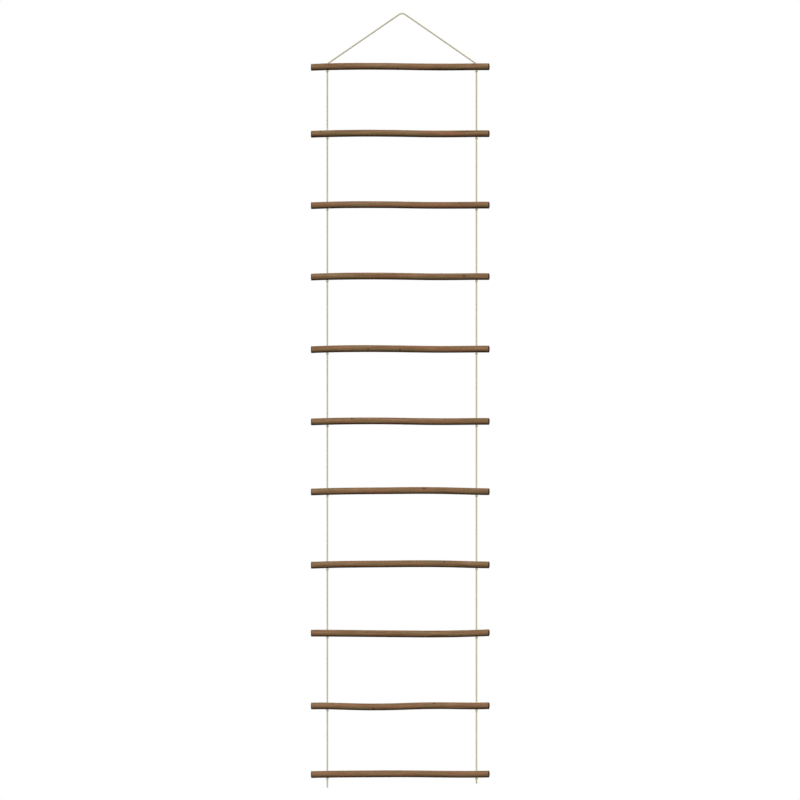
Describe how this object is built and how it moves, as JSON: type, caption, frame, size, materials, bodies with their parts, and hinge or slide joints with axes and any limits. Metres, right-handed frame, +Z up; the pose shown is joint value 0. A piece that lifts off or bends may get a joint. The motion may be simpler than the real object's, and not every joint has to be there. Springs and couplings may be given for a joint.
{
  "type": "decorative rope ladder",
  "caption": "Hanging decorative ladder: natural wooden rungs threaded on one knotted twine cord that loops over a hook.",
  "frame": {"origin": "where the top of the cord bears on its hook, on the underside of the bight", "axes": "+X along the rungs to the viewer's right, +Y from front to back, +Z up"},
  "size_m": [0.4, 0.0154, 1.7301],
  "materials": {
    "rung_wood": "bare brown stick with lengthwise grain and darker sawn ends",
    "cord_twine": "matt twisted natural twine"
  },
  "bodies": {
    "bight": {"cord_bight": "cord_twine"},
    "tier_01": {"left_knot_01": "cord_twine", "right_knot_01": "cord_twine", "left_hanging_cord": "cord_twine", "right_hanging_cord": "cord_twine", "rung_01": "rung_wood"},
    "tier_02": {"left_knot_02": "cord_twine", "right_knot_02": "cord_twine", "left_cord_02": "cord_twine", "right_cord_02": "cord_twine"},
    "rung_02": {"rung_02": "rung_wood"},
    "tier_03": {"left_knot_03": "cord_twine", "right_knot_03": "cord_twine", "left_cord_03": "cord_twine", "right_cord_03": "cord_twine"},
    "rung_03": {"rung_03": "rung_wood"},
    "tier_04": {"left_knot_04": "cord_twine", "right_knot_04": "cord_twine", "left_cord_04": "cord_twine", "right_cord_04": "cord_twine"},
    "rung_04": {"rung_04": "rung_wood"},
    "tier_05": {"left_knot_05": "cord_twine", "right_knot_05": "cord_twine", "left_cord_05": "cord_twine", "right_cord_05": "cord_twine"},
    "rung_05": {"rung_05": "rung_wood"},
    "tier_06": {"left_knot_06": "cord_twine", "right_knot_06": "cord_twine", "left_cord_06": "cord_twine", "right_cord_06": "cord_twine"},
    "rung_06": {"rung_06": "rung_wood"},
    "tier_07": {"left_knot_07": "cord_twine", "right_knot_07": "cord_twine", "left_cord_07": "cord_twine", "right_cord_07": "cord_twine"},
    "rung_07": {"rung_07": "rung_wood"},
    "tier_08": {"left_knot_08": "cord_twine", "right_knot_08": "cord_twine", "left_cord_08": "cord_twine", "right_cord_08": "cord_twine"},
    "rung_08": {"rung_08": "rung_wood"},
    "tier_09": {"left_knot_09": "cord_twine", "right_knot_09": "cord_twine", "left_cord_09": "cord_twine", "right_cord_09": "cord_twine"},
    "rung_09": {"rung_09": "rung_wood"},
    "tier_10": {"left_knot_10": "cord_twine", "right_knot_10": "cord_twine", "left_cord_10": "cord_twine", "right_cord_10": "cord_twine"},
    "rung_10": {"rung_10": "rung_wood"},
    "tier_11": {"left_knot_11": "cord_twine", "right_knot_11": "cord_twine", "left_tail": "cord_twine", "right_tail": "cord_twine", "left_cord_11": "cord_twine", "right_cord_11": "cord_twine"},
    "rung_11": {"rung_11": "rung_wood"}
  },
  "joints": [
    {"name": "tier_01_swing", "type": "hinge", "parent": "bight", "child": "tier_01", "pos_m": [0, 0, -0.00133], "axis": [1, 0, 0], "range_deg": [-90, 90]},
    {"name": "tier_02_swing", "type": "hinge", "parent": "tier_01", "child": "tier_02", "pos_m": [0, 0, -0.1337], "axis": [-1, 0, 0], "range_deg": [-90, 90]},
    {"name": "rung_02_lift", "type": "slide", "parent": "tier_02", "child": "rung_02", "axis": [0, 0, 1], "range_m": [0, 0.1226]},
    {"name": "tier_03_swing", "type": "hinge", "parent": "tier_02", "child": "tier_03", "pos_m": [0, 0, -0.2832], "axis": [1, 0, 0], "range_deg": [-90, 90]},
    {"name": "rung_03_lift", "type": "slide", "parent": "tier_03", "child": "rung_03", "axis": [0, 0, 1], "range_m": [0, 0.1326]},
    {"name": "tier_04_swing", "type": "hinge", "parent": "tier_03", "child": "tier_04", "pos_m": [0, 0, -0.4427], "axis": [-1, 0, 0], "range_deg": [-90, 90]},
    {"name": "rung_04_lift", "type": "slide", "parent": "tier_04", "child": "rung_04", "axis": [0, 0, 1], "range_m": [0, 0.1326]},
    {"name": "tier_05_swing", "type": "hinge", "parent": "tier_04", "child": "tier_05", "pos_m": [0, 0, -0.6022], "axis": [1, 0, 0], "range_deg": [-90, 90]},
    {"name": "rung_05_lift", "type": "slide", "parent": "tier_05", "child": "rung_05", "axis": [0, 0, 1], "range_m": [0, 0.1351]},
    {"name": "tier_06_swing", "type": "hinge", "parent": "tier_05", "child": "tier_06", "pos_m": [0, 0, -0.7642], "axis": [-1, 0, 0], "range_deg": [-90, 90]},
    {"name": "rung_06_lift", "type": "slide", "parent": "tier_06", "child": "rung_06", "axis": [0, 0, 1], "range_m": [0, 0.1346]},
    {"name": "tier_07_swing", "type": "hinge", "parent": "tier_06", "child": "tier_07", "pos_m": [0, 0, -0.9257], "axis": [1, 0, 0], "range_deg": [-90, 90]},
    {"name": "rung_07_lift", "type": "slide", "parent": "tier_07", "child": "rung_07", "axis": [0, 0, 1], "range_m": [0, 0.1296]},
    {"name": "tier_08_swing", "type": "hinge", "parent": "tier_07", "child": "tier_08", "pos_m": [0, 0, -1.0822], "axis": [-1, 0, 0], "range_deg": [-90, 90]},
    {"name": "rung_08_lift", "type": "slide", "parent": "tier_08", "child": "rung_08", "axis": [0, 0, 1], "range_m": [0, 0.1366]},
    {"name": "tier_09_swing", "type": "hinge", "parent": "tier_08", "child": "tier_09", "pos_m": [0, 0, -1.2457], "axis": [1, 0, 0], "range_deg": [-90, 90]},
    {"name": "rung_09_lift", "type": "slide", "parent": "tier_09", "child": "rung_09", "axis": [0, 0, 1], "range_m": [0, 0.1261]},
    {"name": "tier_10_swing", "type": "hinge", "parent": "tier_09", "child": "tier_10", "pos_m": [0, 0, -1.3987], "axis": [-1, 0, 0], "range_deg": [-90, 90]},
    {"name": "rung_10_lift", "type": "slide", "parent": "tier_10", "child": "rung_10", "axis": [0, 0, 1], "range_m": [0, 0.1356]},
    {"name": "tier_11_swing", "type": "hinge", "parent": "tier_10", "child": "tier_11", "pos_m": [0, 0, -1.5612], "axis": [1, 0, 0], "range_deg": [-90, 90]},
    {"name": "rung_11_lift", "type": "slide", "parent": "tier_11", "child": "rung_11", "axis": [0, 0, 1], "range_m": [0, 0.1256]}
  ]
}
